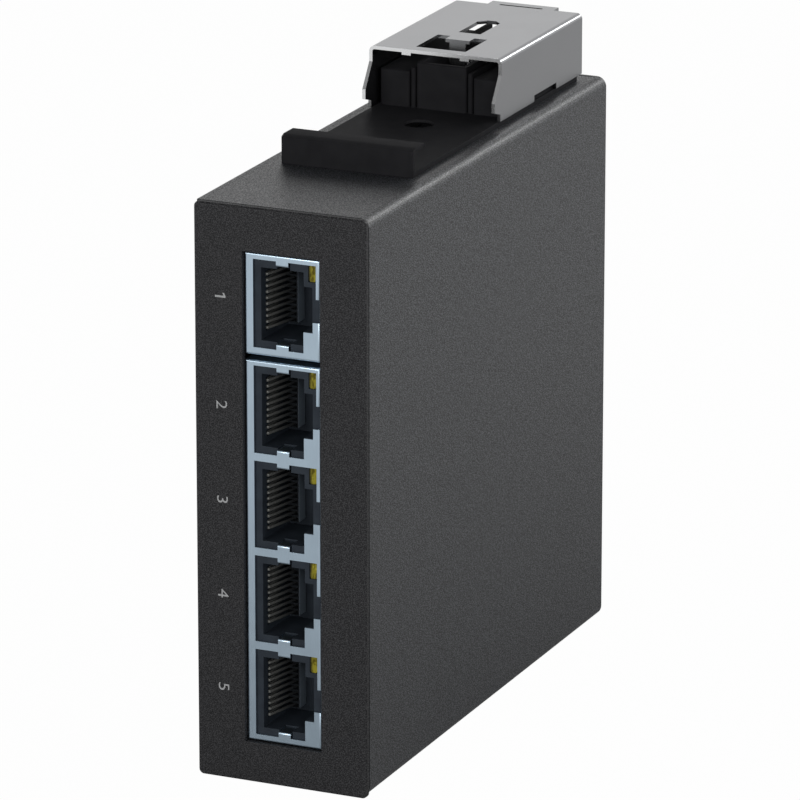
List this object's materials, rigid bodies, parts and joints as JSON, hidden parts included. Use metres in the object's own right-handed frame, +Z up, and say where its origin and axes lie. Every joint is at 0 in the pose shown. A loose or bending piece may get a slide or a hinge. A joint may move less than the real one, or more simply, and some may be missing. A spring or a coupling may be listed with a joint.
{
  "type": "din rail ethernet switch",
  "caption": "Slim sheet-steel network switch with a column of shielded sockets in front, a sprung rail clip on top and a screw terminal behind.",
  "frame": {"origin": "middle of the face the case stands on, below the middle of its width and of its depth", "axes": "+X across the case towards the side that the sockets' latches face, +Y from the sockets to the rear, +Z up towards the rail clip"},
  "size_m": [0.031, 0.1115, 0.1119],
  "materials": {
    "dark_coat": "fine-grained charcoal powder coat",
    "panel_coat": "fine-grained charcoal powder coat",
    "cover_coat": "fine-grained charcoal powder coat",
    "zinc_screws": "zinc-plated steel",
    "black_screws": "blackened steel",
    "shield_metal": "bright plated spring sheet",
    "insert_plastic": "dark moulded plastic",
    "contact_metal": "plated spring wire",
    "comb_plastic": "dark moulded plastic",
    "light_lens": "tinted clear plastic",
    "board_laminate": "coated glass-fibre laminate",
    "chip_plastic": "moulded black package",
    "can_metal": "bare drawn can",
    "choke_ferrite": "ferrite",
    "terminal_plastic": "moulded plastic",
    "pin_metal": "tinned",
    "clip_plastic": "moulded black plastic",
    "cover_steel": "bare rolled spring steel",
    "spring_steel": "drawn spring wire"
  },
  "bodies": {
    "housing": {"main_shell": "dark_coat", "front_panel": "panel_coat", "left_cover": "cover_coat", "cover_screws": "zinc_screws", "single_jack_shield": "shield_metal", "single_jack_housing": "insert_plastic", "single_jack_contacts": "contact_metal", "single_jack_comb": "comb_plastic", "single_jack_light": "light_lens", "ganged_jack_shield": "shield_metal", "ganged_jack_housing": "insert_plastic", "ganged_jack_contacts": "contact_metal", "ganged_jack_combs": "comb_plastic", "ganged_jack_lights": "light_lens", "circuit_board": "board_laminate", "board_standoffs": "zinc_screws", "board_screws": "zinc_screws", "switch_chip": "chip_plastic", "transformer_modules": "chip_plastic", "clock_crystal": "can_metal", "capacitors": "can_metal", "choke_coil": "choke_ferrite", "voltage_regulator": "chip_plastic", "power_header": "terminal_plastic", "power_pins": "pin_metal", "power_plug": "terminal_plastic", "plug_clamps": "pin_metal", "plug_screws": "pin_metal", "power_light": "light_lens", "earth_screw": "zinc_screws", "clip_base": "clip_plastic", "clip_screws": "black_screws", "clip_nuts": "zinc_screws", "latch_spring": "spring_steel"},
    "latch": {"latch_cover": "cover_steel"}
  },
  "joints": [
    {"name": "latch_slide", "type": "slide", "parent": "housing", "child": "latch", "axis": [0, 1, 0], "range_m": [0, 0.003], "stiffness_N_per_m": 1000, "springref_m": -0.005, "deforming": ["latch_spring"]}
  ]
}
